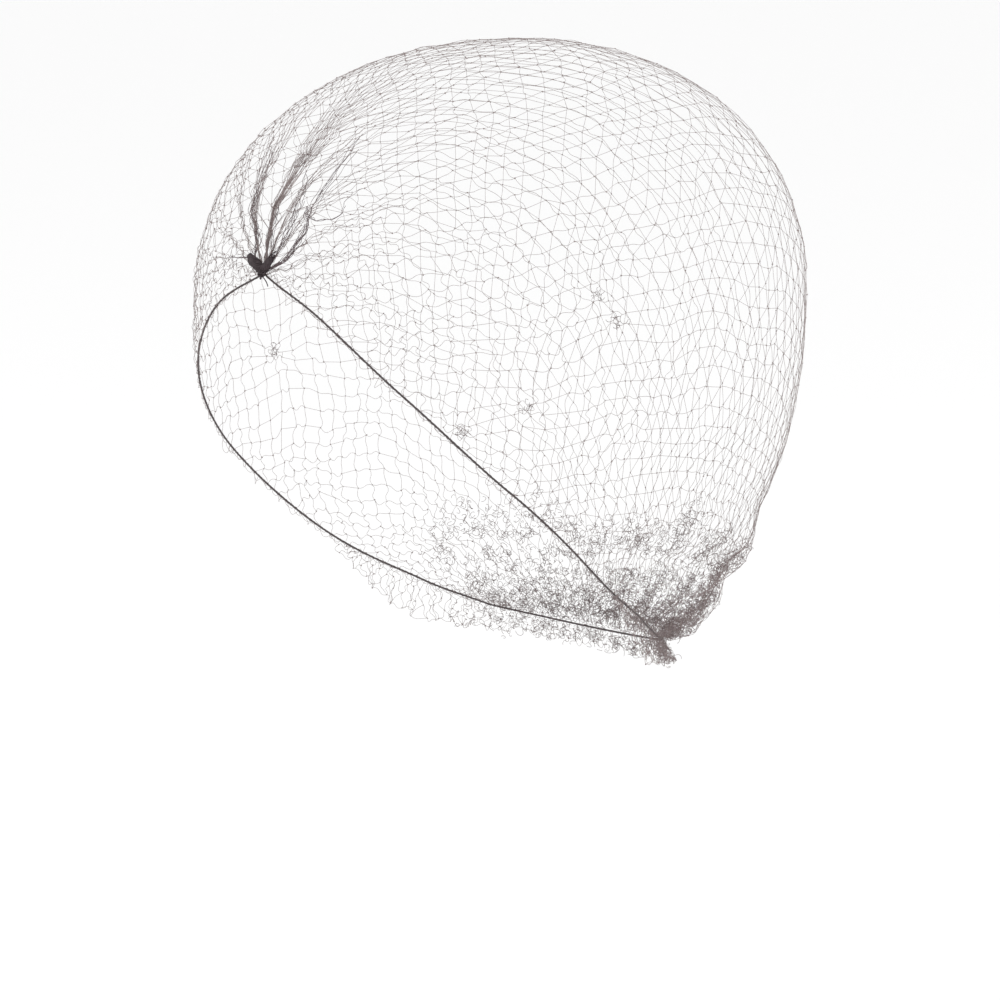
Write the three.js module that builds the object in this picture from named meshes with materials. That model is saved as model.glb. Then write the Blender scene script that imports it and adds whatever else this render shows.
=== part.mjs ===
// A hairnet in its worn form: a knotted net gathered to a tie over the forehead and ruffled at the nape,
// with one thin elastic loop along its edge. Millimetres, +Z up, front towards -Y, left side towards +X.
// The origin is the inside of the crown's top, where the net sits on the head.
import * as THREE from "three";

// Form that the net is stretched over, as reaches from its centre straight below the origin
const halfWidth = 76;
const frontReach = 102;
const backReach = 93;
const rise = 76.7;
const depth = 113;
const levelPower = 2.28; // fullness of a level section, where 2 is an ellipse
const uprightPower = 2.16; // fullness of an upright section
const napeShare = 0.54; // width that is left at the nape, as a share of the widest level
const napeTurn = 8; // how sharply the form turns upright into the nape

// Edge of the net on each side, from the tie to the corner of the nape: degrees round from the front, and
// millimetres below the crown
const edgeRows = [
  { around: 0, drop: 61.3 },
  { around: 12, drop: 72 },
  { around: 26, drop: 93.3 },
  { around: 43, drop: 121 },
  { around: 69, drop: 153 },
  { around: 98, drop: 169.5 },
  { around: 126, drop: 179 },
];
const napeDrop = 187; // the edge at the middle of the nape, below the crown

// Net wall, its gathers and its ruffle
const wall = 1;
const clearance = 0.3; // between pieces that touch on the real thing
const edgeRaise = 1.05; // the net's edge above the middle of the elastic
const mouth = 6; // opening of the net around the tie
const edgeCrowding = 0.2; // rows of mesh stand this much closer towards the edge
const tieBunch = 1.3; // rows draw in to the crown line at the tie
const tieFade = 40; // and open out again over this length
const frontPleats = 6;
const frontPleatHeight = 1.4;
const frontPleatPeak = 16; // the pleats stand highest this far from the tie
const napePleats = 10;
const napePleatDepth = 0.45; // of the ruffle's own height
const napeCornerFade = 0.86; // the ruffle dies away from this share of the half nape to its corner
// Ruffle at the nape: height above the edge, and how far the net stands off the form there
const ruffleRows = [
  { above: 0, swell: 4 },
  { above: 6, swell: 6.6 },
  { above: 14, swell: 8.4 },
  { above: 22, swell: 7.2 },
  { above: 29, swell: 2 },
  { above: 35, swell: 4.4 },
  { above: 41, swell: 4 },
  { above: 49, swell: 0 },
];

// Open mesh: a field of diamonds in the net's own lattice, where it is wide enough to be cut through
const meshColumns = 16; // half diamonds from the tie to the nape
const meshRows = 14; // half diamonds from the crown line to the edge
const gapShare = 0.66; // of a diamond that is open
const gapSmallest = 12; // a diamond narrower than this stays closed

// Elastic
const elasticDiameter = 0.8;
const elasticSeat = 0.1; // between the elastic and the form
const elasticSteps = 104;
const elasticSides = 8;

// Rolled V of gathered net above the tie: place on the form from the tie, and thickness there
const gatherRows = [
  { across: -5.5, above: 4.4, thick: 2 },
  { across: -2.9, above: 3.2, thick: 3 },
  { across: 0.3, above: 2, thick: 2.7 },
  { across: 2.5, above: 4, thick: 2.3 },
  { across: 4.3, above: 7, thick: 1.2 },
];
const gatherFlatness = 0.8; // depth of the roll over its thickness
const gatherLift = 1; // over the first pleats
const gatherSteps = 16;
const gatherSides = 10;

// Tied knot of the elastic
const knotRadius = 0.85;
const knotThread = 0.3;
const knotDrop = 0.5; // below the tie
const knotTurns = 2;
const knotLobes = 3;
const knotSteps = 54;
const knotSides = 6;

// Free margin of the net past the elastic: way along it from the middle of the nape, and how far it hangs
const frillRows = [
  { along: 0, hang: 5.6 },
  { along: 20, hang: 5.8 },
  { along: 40, hang: 6.6 },
  { along: 56, hang: 9.5 },
  { along: 70, hang: 12 },
  { along: 84, hang: 9 },
  { along: 98, hang: 2 },
];
const frillFlare = 2.6;
const frillWave = 1.5;
const frillWaveLength = 7;
const frillSteps = 168;
const frillClearance = 0.75; // below the elastic, which slopes

// Facets of the net's wall: one course for each column of the open mesh, and more at its gathered ends
const openFrom = 2; // column where the open field starts
const openTo = 13; // and where it ends
const tieCourses = 8;
const napeCourses = 12;
const lineSteps = 24;

// Finishes: brown thread, dark elastic and the darker bunched tie
const netFinish = { color: new THREE.Color(0.3, 0.24, 0.22), roughness: 0.85, metalness: 0 };
const elasticFinish = { color: new THREE.Color(0.07, 0.055, 0.055), roughness: 0.6, metalness: 0 };
const tieFinish = { color: new THREE.Color(0.045, 0.03, 0.035), roughness: 0.7, metalness: 0 };

const elasticRadius = elasticDiameter / 2;
const tieHeight = rise - edgeRows[0].drop;
const napeHeight = rise - napeDrop;
const napeCorner = edgeRows.at(-1).around;

// Share of the widest level section that the form keeps at a height
function levelShare(z) {
  const height = Math.min(1, Math.abs(z) / (z > 0 ? rise : depth));
  const cap = (1 - height ** uprightPower) ** (1 / uprightPower);
  if (z > 0) return cap;
  return (cap ** napeTurn + (napeShare * height) ** napeTurn) ** (1 / napeTurn);
}

// Size of the level section through a point, as a share of the widest
function planShare(x, y) {
  const reach = y < 0 ? frontReach : backReach;
  const sum = Math.abs(x / halfWidth) ** levelPower + Math.abs(y / reach) ** levelPower;
  return sum ** (1 / levelPower);
}

// Half width of the form at a place in its side view
function sideReach(y, z) {
  const reach = y < 0 ? frontReach : backReach;
  const left = levelShare(z) ** levelPower - Math.abs(y / reach) ** levelPower;
  return halfWidth * Math.max(0, left) ** (1 / levelPower);
}

// Reach of the form towards the front at a place in its front view
function frontReachAt(x, z) {
  const left = levelShare(z) ** levelPower - Math.abs(x / halfWidth) ** levelPower;
  return frontReach * Math.max(0, left) ** (1 / levelPower);
}

// Unit vector square to the form at a point
function outward({ x, y, z }) {
  const step = 0.01;
  const past = (px, py, pz) => planShare(px, py) - levelShare(pz);
  return new THREE.Vector3(
    past(x + step, y, z) - past(x - step, y, z),
    past(x, y + step, z) - past(x, y - step, z),
    past(x, y, z + step) - past(x, y, z - step),
  ).normalize();
}

// Smooth curve through one column of a table, against another
function smoothRows(rows, along, value, at) {
  const last = rows.length - 1;
  const here = THREE.MathUtils.clamp(at, rows[0][along], rows[last][along]);
  const i = Math.min(rows.findLastIndex((row) => row[along] <= here), last - 1);
  const slope = (k) => {
    const before = rows[Math.max(0, k - 1)];
    const after = rows[Math.min(last, k + 1)];
    return (after[value] - before[value]) / (after[along] - before[along]);
  };
  const span = rows[i + 1][along] - rows[i][along];
  const t = (here - rows[i][along]) / span;
  const far = t * t * (3 - 2 * t);
  const leave = t * (1 - t) ** 2 * slope(i);
  const arrive = t * t * (t - 1) * slope(i + 1);
  return rows[i][value] * (1 - far) + rows[i + 1][value] * far + span * (leave + arrive);
}

function curveThrough(count, pointAt) {
  const points = Array.from({ length: count + 1 }, (_, i) => pointAt(i / count));
  return new THREE.CatmullRomCurve3(points);
}

// Outline of the form in its middle plane, from the tie over the crown and down to the nape
function makeCrownLine() {
  const start = Math.asin((tieHeight + edgeRaise) / rise);
  const over = curveThrough(2 * lineSteps, (t) => {
    const turn = THREE.MathUtils.lerp(start, Math.PI, t);
    const z = rise * Math.sin(turn);
    return new THREE.Vector3(0, (turn < Math.PI / 2 ? -frontReach : backReach) * levelShare(z), z);
  });
  const down = curveThrough(lineSteps, (t) => {
    const z = (napeHeight + edgeRaise) * t;
    return new THREE.Vector3(0, backReach * levelShare(z), z);
  });
  return new THREE.CatmullRomCurve3([...over.points, ...down.points.slice(1)]);
}

// Line on the left of the form, from the tie to the corner of the nape, a little above the elastic
function makeEdgeLine(above) {
  return curveThrough(lineSteps, (t) => {
    const around = napeCorner * t;
    const z = rise - smoothRows(edgeRows, "around", "drop", around) + above;
    const angle = THREE.MathUtils.degToRad(around);
    const x = Math.sin(angle);
    const y = -Math.cos(angle);
    const reach = levelShare(z) / planShare(x, y);
    return new THREE.Vector3(reach * x, reach * y, z);
  });
}

// Cut of the form by a plane square to its side view, from a point on its outline to one on its side
function makeCourse(top, edge) {
  return curveThrough(lineSteps, (t) => {
    const y = THREE.MathUtils.lerp(top.y, edge.y, t * t);
    const z = THREE.MathUtils.lerp(top.z, edge.z, t * t);
    return new THREE.Vector3(sideReach(y, z), y, z);
  });
}

const elasticLine = makeEdgeLine(0);
const elasticNape = makeCourse(
  new THREE.Vector3(0, backReach * levelShare(napeHeight), napeHeight),
  elasticLine.getPointAt(1),
);
const crownLine = makeCrownLine();
const edgeLine = makeEdgeLine(edgeRaise);
const crownLength = crownLine.getLength();
const edgeLength = edgeLine.getLength();
const courses = new Map();

// Course across the net at a share of the way from the tie to the nape
function courseAt(u) {
  if (!courses.has(u)) courses.set(u, makeCourse(crownLine.getPointAt(u), edgeLine.getPointAt(u)));
  return courses.get(u);
}

// Share of a course from the crown line to the edge at a row of mesh
function rowShare(u, row) {
  const even = row * (1 + edgeCrowding) - edgeCrowding * row ** 3;
  const bunch = 1 + tieBunch * Math.exp((-u * crownLength) / tieFade);
  return even ** bunch;
}

// How far the net stands off the form in the pleats at the tie and the ruffle at the nape
function swell(u, v) {
  const row = Math.abs(v);
  const along = (u * crownLength) / frontPleatPeak;
  const ridge = 0.5 + 0.5 * Math.cos(Math.PI * frontPleats * v);
  const pleat = frontPleatHeight * ridge * along * Math.exp(1 - along);
  const above = (1 - u) * THREE.MathUtils.lerp(crownLength, edgeLength, row);
  const fold = 1 - napePleatDepth * (0.5 - 0.5 * Math.cos(Math.PI * napePleats * v));
  const corner = 1 - THREE.MathUtils.smoothstep(row, napeCornerFade, 1);
  return pleat + smoothRows(ruffleRows, "above", "swell", above) * fold * corner;
}

// Point of the net at a course u from tie to nape and a row v from right edge to left edge
function netPoint(u, v, lift) {
  const point = courseAt(u).getPointAt(rowShare(u, Math.abs(v)));
  point.x *= Math.sign(v);
  return point.addScaledVector(outward(point), swell(u, v) + lift);
}

// Closed surface through rings of points, capped at both ends unless it closes on itself
function loft(rings, closed = false) {
  const size = rings[0].length;
  const last = rings.length - 1;
  const index = [];
  const quad = (a, b, c, d) => index.push(a, b, c, a, c, d);
  rings.forEach((ring, i) => {
    if (i === last && !closed) return;
    const here = i * size;
    const next = ((i + 1) % rings.length) * size;
    ring.forEach((_, k) => {
      const side = (k + 1) % size;
      quad(here + k, here + side, next + side, next + k);
    });
  });
  if (!closed) {
    for (let k = 0; k < size / 2 - 1; k++) {
      const end = last * size;
      quad(k, size - 1 - k, size - 2 - k, k + 1);
      quad(end + k, end + k + 1, end + size - 2 - k, end + size - 1 - k);
    }
  }
  const geometry = new THREE.BufferGeometry().setFromPoints(rings.flat());
  return geometry.setIndex(index);
}

// Ring of a tube around a centre: an ellipse across the path
function tubeRing(centre, along, out, width, height, sides) {
  const across = new THREE.Vector3().crossVectors(along, out).normalize();
  const square = new THREE.Vector3().crossVectors(across, along).normalize();
  return Array.from({ length: sides }, (_, k) => {
    const angle = (2 * Math.PI * k) / sides;
    const point = centre.clone().addScaledVector(square, height * Math.cos(angle));
    return point.addScaledVector(across, width * Math.sin(angle));
  });
}

function piece(name, geometry, finish) {
  geometry.computeVertexNormals();
  const mesh = new THREE.Mesh(geometry, new THREE.MeshStandardMaterial(finish));
  mesh.name = name;
  return mesh;
}

// Corners of the open diamond around a place in the lattice
function diamond([column, row]) {
  return [
    [column - gapShare, row],
    [column, row + gapShare],
    [column + gapShare, row],
    [column, row - gapShare],
  ];
}

// Point of the net at a place in the lattice
function latticePoint([column, row], lift) {
  return netPoint(column / meshColumns, row / meshRows, lift);
}

// True where the lattice has a diamond that is wide enough to be open
function isOpen([column, row]) {
  const inField = column > openFrom && column < openTo && Math.abs(row) < meshRows;
  if (!inField || !Number.isInteger(column) || (column + row) % 2 !== 0) return false;
  const [front, left, back, right] = diamond([column, row]).map((place) => latticePoint(place, 0));
  return Math.min(front.distanceTo(back), left.distanceTo(right)) > gapSmallest;
}

// Columns of the lattice where the wall has a course, from the opening at the tie to the nape
function wallColumns() {
  const start = (mouth / crownLength) * meshColumns;
  const steps = (from, to, count) => {
    return Array.from({ length: count }, (_, i) => THREE.MathUtils.lerp(from, to, i / count));
  };
  return [
    ...steps(start, openFrom, tieCourses),
    ...steps(openFrom, openTo, openTo - openFrom),
    ...steps(openTo, meshColumns, napeCourses),
    meshColumns,
  ];
}

// Faces of the wall in lattice places: squares with the corners that lie in an open diamond cut off
function wallFaces() {
  const faces = [];
  const columns = wallColumns();
  const inward = (from, to) => from.map((value, k) => THREE.MathUtils.lerp(value, to[k], gapShare));
  columns.slice(1).forEach((next, i) => {
    for (let row = -meshRows; row < meshRows; row++) {
      const here = columns[i];
      const square = [[here, row], [here, row + 1], [next, row + 1], [next, row]];
      const cut = square.flatMap((corner, k) => {
        if (!isOpen(corner)) return [corner];
        return [inward(corner, square[(k + 3) % 4]), inward(corner, square[(k + 1) % 4])];
      });
      faces.push(cut);
    }
  });
  return faces;
}

// Net: one thin wall from edge to edge, with a rim wherever a face has no neighbour
function netCrown() {
  const points = [];
  const index = [];
  const places = new Map();
  const edges = new Map();
  const pointPair = (place) => {
    const key = place.map((value) => value.toFixed(6)).join(" ");
    if (!places.has(key)) {
      places.set(key, points.length);
      points.push(latticePoint(place, 0), latticePoint(place, wall));
    }
    return places.get(key);
  };
  wallFaces().forEach((face) => {
    const ring = face.map(pointPair);
    ring.forEach((here, k) => {
      const next = ring[(k + 1) % ring.length];
      const before = ring[k - 1];
      if (k > 1) index.push(ring[0] + 1, before + 1, here + 1, ring[0], here, before);
      if (!edges.delete(`${next} ${here}`)) edges.set(`${here} ${next}`, [here, next]);
    });
  });
  edges.forEach(([here, next]) => index.push(next + 1, here + 1, here, next + 1, here, next));
  const geometry = new THREE.BufferGeometry().setFromPoints(points).setIndex(index);
  return piece("net_crown", geometry, netFinish);
}

// Elastic: a whole loop along both edges and the nape
function edgeElastic() {
  const left = elasticLine.getSpacedPoints(2 * lineSteps);
  const across = elasticNape.getSpacedPoints(lineSteps).reverse();
  const half = [...left, ...across.slice(1)];
  const mirrored = half.slice(1, -1).reverse().map((p) => new THREE.Vector3(-p.x, p.y, p.z));
  const route = new THREE.CatmullRomCurve3([...half, ...mirrored], true);
  const rings = Array.from({ length: elasticSteps }, (_, i) => {
    const t = i / elasticSteps;
    const seat = route.getPointAt(t);
    const out = outward(seat);
    const centre = seat.addScaledVector(out, elasticSeat + elasticRadius);
    return tubeRing(centre, route.getTangentAt(t), out, elasticRadius, elasticRadius, elasticSides);
  });
  return piece("edge_elastic", loft(rings, true), elasticFinish);
}

// Place on the front of the form, measured from the tie
function fromTie(across, above) {
  const z = tieHeight + above;
  return new THREE.Vector3(across, -frontReachAt(across, z), z);
}

// Rolled V of gathered net, lying on the first pleats
function frontGather() {
  const route = new THREE.CatmullRomCurve3(gatherRows.map((row) => fromTie(row.across, row.above)));
  const steps = gatherRows.map((row, i) => ({ at: i / (gatherRows.length - 1), thick: row.thick }));
  const rings = Array.from({ length: gatherSteps + 1 }, (_, i) => {
    const t = i / gatherSteps;
    const thick = smoothRows(steps, "at", "thick", t);
    const height = (gatherFlatness * thick) / 2;
    const seat = route.getPoint(t);
    const out = outward(seat);
    const centre = seat.addScaledVector(out, wall + gatherLift + clearance + height);
    return tubeRing(centre, route.getTangent(t), out, thick / 2, height, gatherSides);
  });
  return piece("front_gather", loft(rings), tieFinish);
}

// Knot that ties the elastic under the gathered net
function frontKnot() {
  const trefoil = new THREE.TorusKnotGeometry(
    knotRadius,
    knotThread,
    knotSteps,
    knotSides,
    knotTurns,
    knotLobes,
  );
  const mesh = piece("front_knot", trefoil, tieFinish);
  const seat = fromTie(0, -knotDrop);
  const out = outward(seat);
  const height = elasticSeat + elasticDiameter + clearance + knotRadius / 2 + knotThread;
  mesh.position.copy(seat).addScaledVector(out, height);
  mesh.quaternion.setFromUnitVectors(new THREE.Vector3(0, 0, 1), out);
  return mesh;
}

// Free margin of the net: a waved strip that hangs below the elastic, across the nape and past its corners
function napeFrill() {
  const top = -(elasticRadius + frillClearance);
  const upEdge = elasticLine.getSpacedPoints(2 * lineSteps).reverse();
  const route = new THREE.CatmullRomCurve3([...elasticNape.getSpacedPoints(lineSteps), ...upEdge.slice(1)]);
  const span = frillRows.at(-1).along;
  const rings = Array.from({ length: frillSteps + 1 }, (_, i) => {
    const along = span * ((2 * i) / frillSteps - 1);
    const seat = route.getPointAt(Math.abs(along) / route.getLength());
    seat.x *= Math.sign(along);
    const out = outward(seat).setZ(0).normalize();
    const hang = smoothRows(frillRows, "along", "hang", Math.abs(along));
    const wave = frillWave * Math.cos((2 * Math.PI * along) / frillWaveLength);
    const at = (share, lift) => {
      const point = seat.clone().addScaledVector(out, elasticSeat + share * (frillFlare + wave) + lift);
      point.z += top - share * hang;
      return point;
    };
    return [at(1, wall), at(0.5, wall), at(0, wall), at(0, 0), at(0.5, 0), at(1, 0)];
  });
  return piece("nape_frill", loft(rings), netFinish);
}

const hairnet = new THREE.Group();
const worn = new THREE.Group();
worn.position.z = -rise; // brings the inside of the crown's top to the origin
worn.add(netCrown(), edgeElastic(), frontGather(), frontKnot(), napeFrill());
hairnet.add(worn);

export default hairnet;
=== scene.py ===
import math

import bpy
import numpy as np
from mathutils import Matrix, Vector


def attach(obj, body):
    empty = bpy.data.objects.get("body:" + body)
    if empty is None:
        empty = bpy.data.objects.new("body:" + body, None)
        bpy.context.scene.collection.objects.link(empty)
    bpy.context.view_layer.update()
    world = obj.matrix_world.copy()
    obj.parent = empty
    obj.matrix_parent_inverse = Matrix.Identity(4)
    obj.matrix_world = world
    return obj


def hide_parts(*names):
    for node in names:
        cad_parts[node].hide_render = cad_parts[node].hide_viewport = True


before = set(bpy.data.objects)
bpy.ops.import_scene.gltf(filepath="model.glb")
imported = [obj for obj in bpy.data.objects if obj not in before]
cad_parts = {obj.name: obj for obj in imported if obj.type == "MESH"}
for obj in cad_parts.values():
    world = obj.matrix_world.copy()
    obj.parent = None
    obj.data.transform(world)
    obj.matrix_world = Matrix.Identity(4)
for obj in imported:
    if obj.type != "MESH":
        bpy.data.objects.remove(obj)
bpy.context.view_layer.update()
rng = np.random.default_rng(29)
print("stage: frame loaded")

fullTurn = 2 * math.pi
millimetre = 0.001
tiny = 1e-9
mirror = np.array([-1, 1, 1])
noQuads = np.zeros((0, 4), int)
noTriangles = np.zeros((0, 3), int)

# Worn shape of the net, in millimetres from its centre, which lies straight below the origin
form = {
    "halfWidth": 76,
    "frontReach": 102,
    "backReach": 93,
    "rise": 76.7,
    "depth": 113,
    "levelPower": 2.28,
    "uprightPower": 2.16,
    "napeShare": 0.54,
    "napeTurn": 8,
    "slopeStep": 0.05,
}

# Edge of the net: degrees round from the front, and how far the edge lies below the crown's top
edge = {
    "around": [0, 12, 26, 43, 69, 98, 126],
    "drop": [61.3, 72, 93.3, 121, 153, 169.5, 179],
    "napeDrop": 187,
    "raised": 0.6,
}

# Points in the lines that are worked out on the form
fineness = {"edge": 400, "crown": 800, "nape": 400, "course": 240}


# Vectors of length one: each divided by its own length
def unit(vectors):
    return vectors / (np.linalg.norm(vectors, axis=-1, keepdims=True) + tiny)


# Share of the widest level section at a height: a superellipse cap that turns below into an upright nape
def levelShare(z):
    height = np.clip(np.abs(z) / np.where(z > 0, form["rise"], form["depth"]), 0, 1)
    cap = (1 - height ** form["uprightPower"]) ** (1 / form["uprightPower"])
    turned = cap ** form["napeTurn"] + (form["napeShare"] * height) ** form["napeTurn"]
    return np.where(z > 0, cap, turned ** (1 / form["napeTurn"]))


# Size of the level section through a point: the superellipse sum of its two reaches
def planShare(x, y):
    reach = np.where(y < 0, form["frontReach"], form["backReach"])
    power = form["levelPower"]
    return (np.abs(x / form["halfWidth"]) ** power + np.abs(y / reach) ** power) ** (1 / power)


# Half width in the side view: what the superellipse leaves beside y at height z
def sideReach(y, z):
    reach = np.where(y < 0, form["frontReach"], form["backReach"])
    power = form["levelPower"]
    left = np.clip(levelShare(z) ** power - np.abs(y / reach) ** power, 0, None)
    return form["halfWidth"] * left ** (1 / power)


# How far points are past the form: the size of their level section less the share that their height has
def pastForm(points):
    return planShare(points[..., 0], points[..., 1]) - levelShare(points[..., 2])


# Unit vectors square to the form: the slope of how far a point is past it, by central differences
def outward(points):
    steps = form["slopeStep"] * np.eye(3)
    return unit(np.stack([pastForm(points + step) - pastForm(points - step) for step in steps], axis=-1))


# Cubic through table rows, with the slope at each row taken from its two neighbours
def smoothRows(xs, ys, at):
    xs = np.asarray(xs, float)
    ys = np.asarray(ys, float)
    last = len(xs) - 1
    before = np.clip(np.arange(last + 1) - 1, 0, last)
    after = np.clip(np.arange(last + 1) + 1, 0, last)
    slope = (ys[after] - ys[before]) / (xs[after] - xs[before])
    at = np.clip(at, xs[0], xs[-1])
    i = np.clip(np.searchsorted(xs, at, "right") - 1, 0, last - 1)
    span = xs[i + 1] - xs[i]
    t = (at - xs[i]) / span
    far = t * t * (3 - 2 * t)
    bend = t * (1 - t) ** 2 * slope[i] + t * t * (t - 1) * slope[i + 1]
    return ys[i] * (1 - far) + ys[i + 1] * far + span * bend


# Smooth step from 0 at low to 1 at high: 3 t squared less 2 t cubed
def smoothStep(at, low, high):
    t = np.clip((at - low) / (high - low), 0, 1)
    return t * t * (3 - 2 * t)


# Points of a line at given shares of its length, by straight steps between its own points, and that length
def alongLine(points, shares):
    length = np.r_[0, np.cumsum(np.linalg.norm(np.diff(points, axis=0), axis=1))]
    at = np.asarray(shares) * length[-1]
    return np.stack([np.interp(at, length, points[:, k]) for k in range(3)], axis=-1), length[-1]


# Edge on the left: at each angle round, the reach that the level section has at the edge's height
def edgeLine(above):
    around = np.linspace(0, edge["around"][-1], fineness["edge"])
    z = form["rise"] - smoothRows(edge["around"], edge["drop"], around) + above
    x = np.sin(np.radians(around))
    y = -np.cos(np.radians(around))
    reach = levelShare(z) / planShare(x, y)
    return np.stack([reach * x, reach * y, z], axis=1)


# Outline in the middle plane, from tie to nape: the crown by angle and then the back by height
def crownLine():
    tie = form["rise"] - edge["drop"][0] + edge["raised"]
    nape = form["rise"] - edge["napeDrop"] + edge["raised"]
    turn = np.linspace(math.asin(tie / form["rise"]), math.pi, fineness["crown"])
    zOver = form["rise"] * np.sin(turn)
    yOver = np.where(turn < math.pi / 2, -form["frontReach"], form["backReach"]) * levelShare(zOver)
    zDown = np.linspace(0, nape, fineness["nape"])[1:]
    y = np.r_[yOver, form["backReach"] * levelShare(zDown)]
    return np.stack([0 * y, y, np.r_[zOver, zDown]], axis=1)


# Cut of the form by a plane square to its side view: y and z go from top to edge with t squared
def courseLine(top, side):
    t = np.linspace(0, 1, fineness["course"])[:, None] ** 2
    yz = top[1:] * (1 - t) + side[1:] * t
    return np.column_stack([sideReach(yz[:, 0], yz[:, 1]), yz])


# Middle of the nape: the form's back reach at the height of the elastic there
def napeMiddle():
    z = form["rise"] - edge["napeDrop"]
    return np.array([0, form["backReach"] * float(levelShare(np.array(z))), z])


# Places on the front, measured from the tie: y is what the superellipse leaves in front of x and z
def fromTie(across, above):
    z = form["rise"] - edge["drop"][0] + above
    power = form["levelPower"]
    left = np.clip(levelShare(z) ** power - np.abs(across / form["halfWidth"]) ** power, 0, None)
    return np.stack([across, -form["frontReach"] * left ** (1 / power), z], axis=-1)


# Knotted net: its lattice, and how it is gathered, ruffled and crumpled
net = {
    "columns": 66,  # half meshes from tie to nape
    "rows": 58,  # half meshes from the middle to either edge
    "gridPerMesh": 4,
    "bar": 6.35,  # a quarter inch from knot to knot
    "barSpread": 0.05,
    "barSteps": 7,
    "thread": 0.12,
    "sides": 3,
    "knotSize": 0.19,
    "knotSpread": 0.25,
    "knotStretch": 0.5,
    "levelSlack": 0.3,  # share of a bar's slack that shows as waves
    "uprightSlack": 0.5,
    "hemSlack": 0.95,
    "hemSlackFrom": 0.6,
    "tieSlack": 0.85,
    "fuzz": 0.22,
    "lift": 0.4,
    "crownCrowding": 0.1,
    "tieBunch": 1.4,
    "tieFade": 40,
    "streaks": [-0.8, -0.6, -0.42, -0.24, 0.04, 0.19, 0.34, 0.52, 0.7, 0.88],  # shares of a course
    "streakDraw": 0.8,
    "streakReach": 42,
    "streakHeight": 1.6,
    "streakPeak": 16,
    "streakSides": (0.4, 0.8),
    "streakHem": (0.85, 1),
    "napePleats": 10,
    "napePleatDepth": 0.45,
    "napeCorner": (0.86, 1),
    "ruffleAbove": [0, 6, 14, 22, 29, 35, 41, 49],  # up from the nape, with the swell at each
    "ruffleSwell": [2.2, 5.2, 7.6, 6.4, 2, 4.6, 4.2, 0],
    "drift": 1.0,
    "driftSize": 34,
    "shiver": 0.35,
    "shiverSize": 9,
    "noiseWaves": 28,
    "stillEdge": 0.06,  # share of the net beside its edge where the drift sets in
    "stillTie": (2, 25),  # and the same near the tie, in millimetres
}

# Surface of the net as a dense grid: courses from tie to nape, each split by the share that a row keeps
gridU = np.linspace(0, 1, net["gridPerMesh"] * net["columns"] + 1)
gridV = np.linspace(0, 1, net["gridPerMesh"] * net["rows"] + 1)
crownPoints, crownLength = alongLine(crownLine(), gridU)
hemPoints, hemLength = alongLine(edgeLine(edge["raised"]), gridU)
rowShares = gridV * (1 - net["crownCrowding"]) + net["crownCrowding"] * gridV ** 3


# Power that bunches the rows of a course: 1, plus a part that dies away with the distance from the tie
def bunchPower(u):
    return 1 + net["tieBunch"] * np.exp(-u * crownLength / net["tieFade"])


halfGrid = np.stack([
    alongLine(courseLine(top, side), rowShares ** power)[0]
    for top, side, power in zip(crownPoints, hemPoints, bunchPower(gridU))
])
surface = np.concatenate([halfGrid[:, :0:-1] * mirror, halfGrid], axis=1)
print("stage: surface", surface.shape, round(crownLength), round(hemLength))


# Point of the surface at a course u and a row v from -1 to 1: the grid's four corners weighed by distance
def surfacePoint(u, v):
    a = np.clip(u, 0, 1) * (surface.shape[0] - 1)
    b = (np.clip(v, -1, 1) + 1) / 2 * (surface.shape[1] - 1)
    i = np.minimum(a.astype(int), surface.shape[0] - 2)
    j = np.minimum(b.astype(int), surface.shape[1] - 2)
    s = (a - i)[..., None]
    t = (b - j)[..., None]
    near = surface[i, j] * (1 - t) + surface[i, j + 1] * t
    far = surface[i + 1, j] * (1 - t) + surface[i + 1, j + 1] * t
    return near * (1 - s) + far * s


# Length from tie to nape along a row: the crown's at row 0, the edge's at row 1, and in proportion between
def rowLength(row):
    return crownLength * (1 - row) + hemLength * row


# Stand-off from the form: ridges that rise and die away from the tie, and the pleated ruffle above the nape
def swell(u, v):
    row = np.abs(v)
    along = u * crownLength / net["streakPeak"]
    ridge = net["streakHeight"] * along * np.exp(1 - along) * (1 - smoothStep(row, *net["streakSides"]))
    ruffleHere = smoothRows(net["ruffleAbove"], net["ruffleSwell"], (1 - u) * rowLength(row))
    pleat = 1 - net["napePleatDepth"] * (0.5 - 0.5 * np.cos(math.pi * net["napePleats"] * v))
    return ridge + ruffleHere * pleat * (1 - smoothStep(row, *net["napeCorner"]))


# Rows drawn together into streaks near the tie: each share of a course moves part of the way to its nearest
# streak, less with distance from the tie, and is turned back into the row that has this share
def drawnRow(u, v):
    power = bunchPower(u)
    shares = np.sign(v) * np.interp(np.abs(v), gridV, rowShares) ** power
    places = np.array(net["streaks"])
    nearest = places[np.abs(shares[..., None] - places).argmin(axis=-1)]
    draw = net["streakDraw"] * np.exp(-((u * crownLength / net["streakReach"]) ** 2))
    draw = draw * (1 - smoothStep(np.abs(v), *net["streakHem"]))
    shares = shares + draw * (nearest - shares)
    return np.sign(shares) * np.interp(np.abs(shares) ** (1 / power), rowShares, gridV)


# Smooth random field of unit spread: a sum of cosines with random directions and phases and one wavelength
def softNoise(points, size):
    waves = rng.normal(size=(3, net["noiseWaves"]))
    waves *= fullTurn / size / np.linalg.norm(waves, axis=0)
    phase = rng.uniform(0, fullTurn, net["noiseWaves"])
    return np.cos(points @ waves + phase).sum(axis=-1) * math.sqrt(2 / net["noiseWaves"])


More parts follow.
